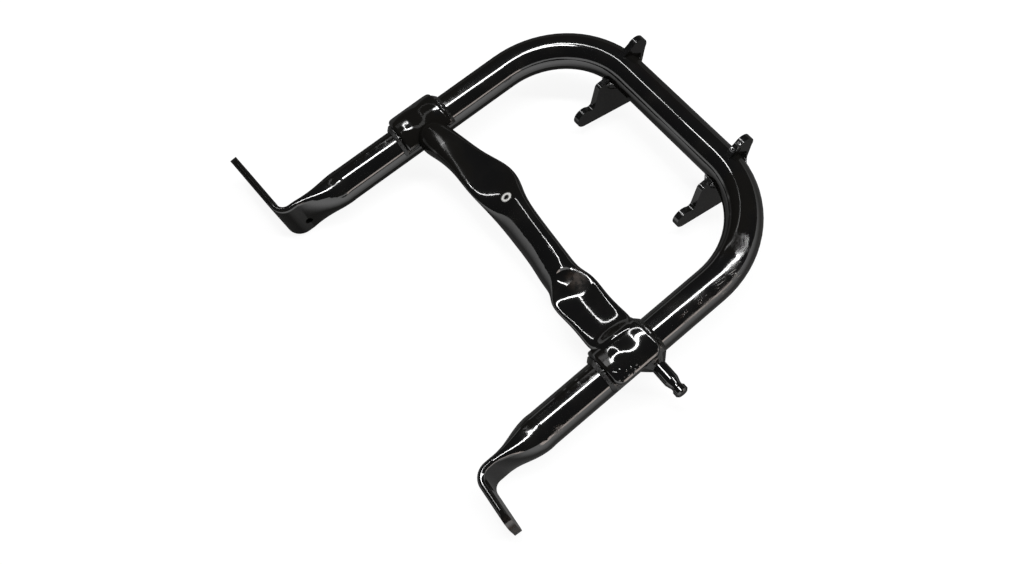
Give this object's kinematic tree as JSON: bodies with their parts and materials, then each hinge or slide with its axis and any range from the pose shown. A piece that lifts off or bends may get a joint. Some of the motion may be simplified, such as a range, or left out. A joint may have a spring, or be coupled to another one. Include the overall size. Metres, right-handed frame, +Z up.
{
  "type": "motorcycle centre stand",
  "caption": "Welded tubular centre stand: bent U frame with flattened feet, a cross tube that saddles the legs, pivot ears and a spring pin, painted gloss black.",
  "frame": {"origin": "middle of the pivot axis, between the two ears", "axes": "+X along the pivot axis toward the leg with the spring pin, +Y from the feet toward the closed end, +Z up, the stand lying on its ears and feet"},
  "size_m": [0.3679, 0.2999, 0.0662],
  "materials": {
    "black_paint": "gloss"
  },
  "bodies": {
    "root": {"crossbar": "black_paint", "crossbar_weld_left": "black_paint", "crossbar_weld_right": "black_paint", "ear_left": "black_paint", "ear_left_weld_inner": "black_paint", "ear_left_weld_outer": "black_paint", "ear_right": "black_paint", "ear_right_weld_inner": "black_paint", "ear_right_weld_outer": "black_paint", "frame_tube": "black_paint", "spring_pin": "black_paint", "spring_pin_weld": "black_paint"}
  },
  "joints": []
}
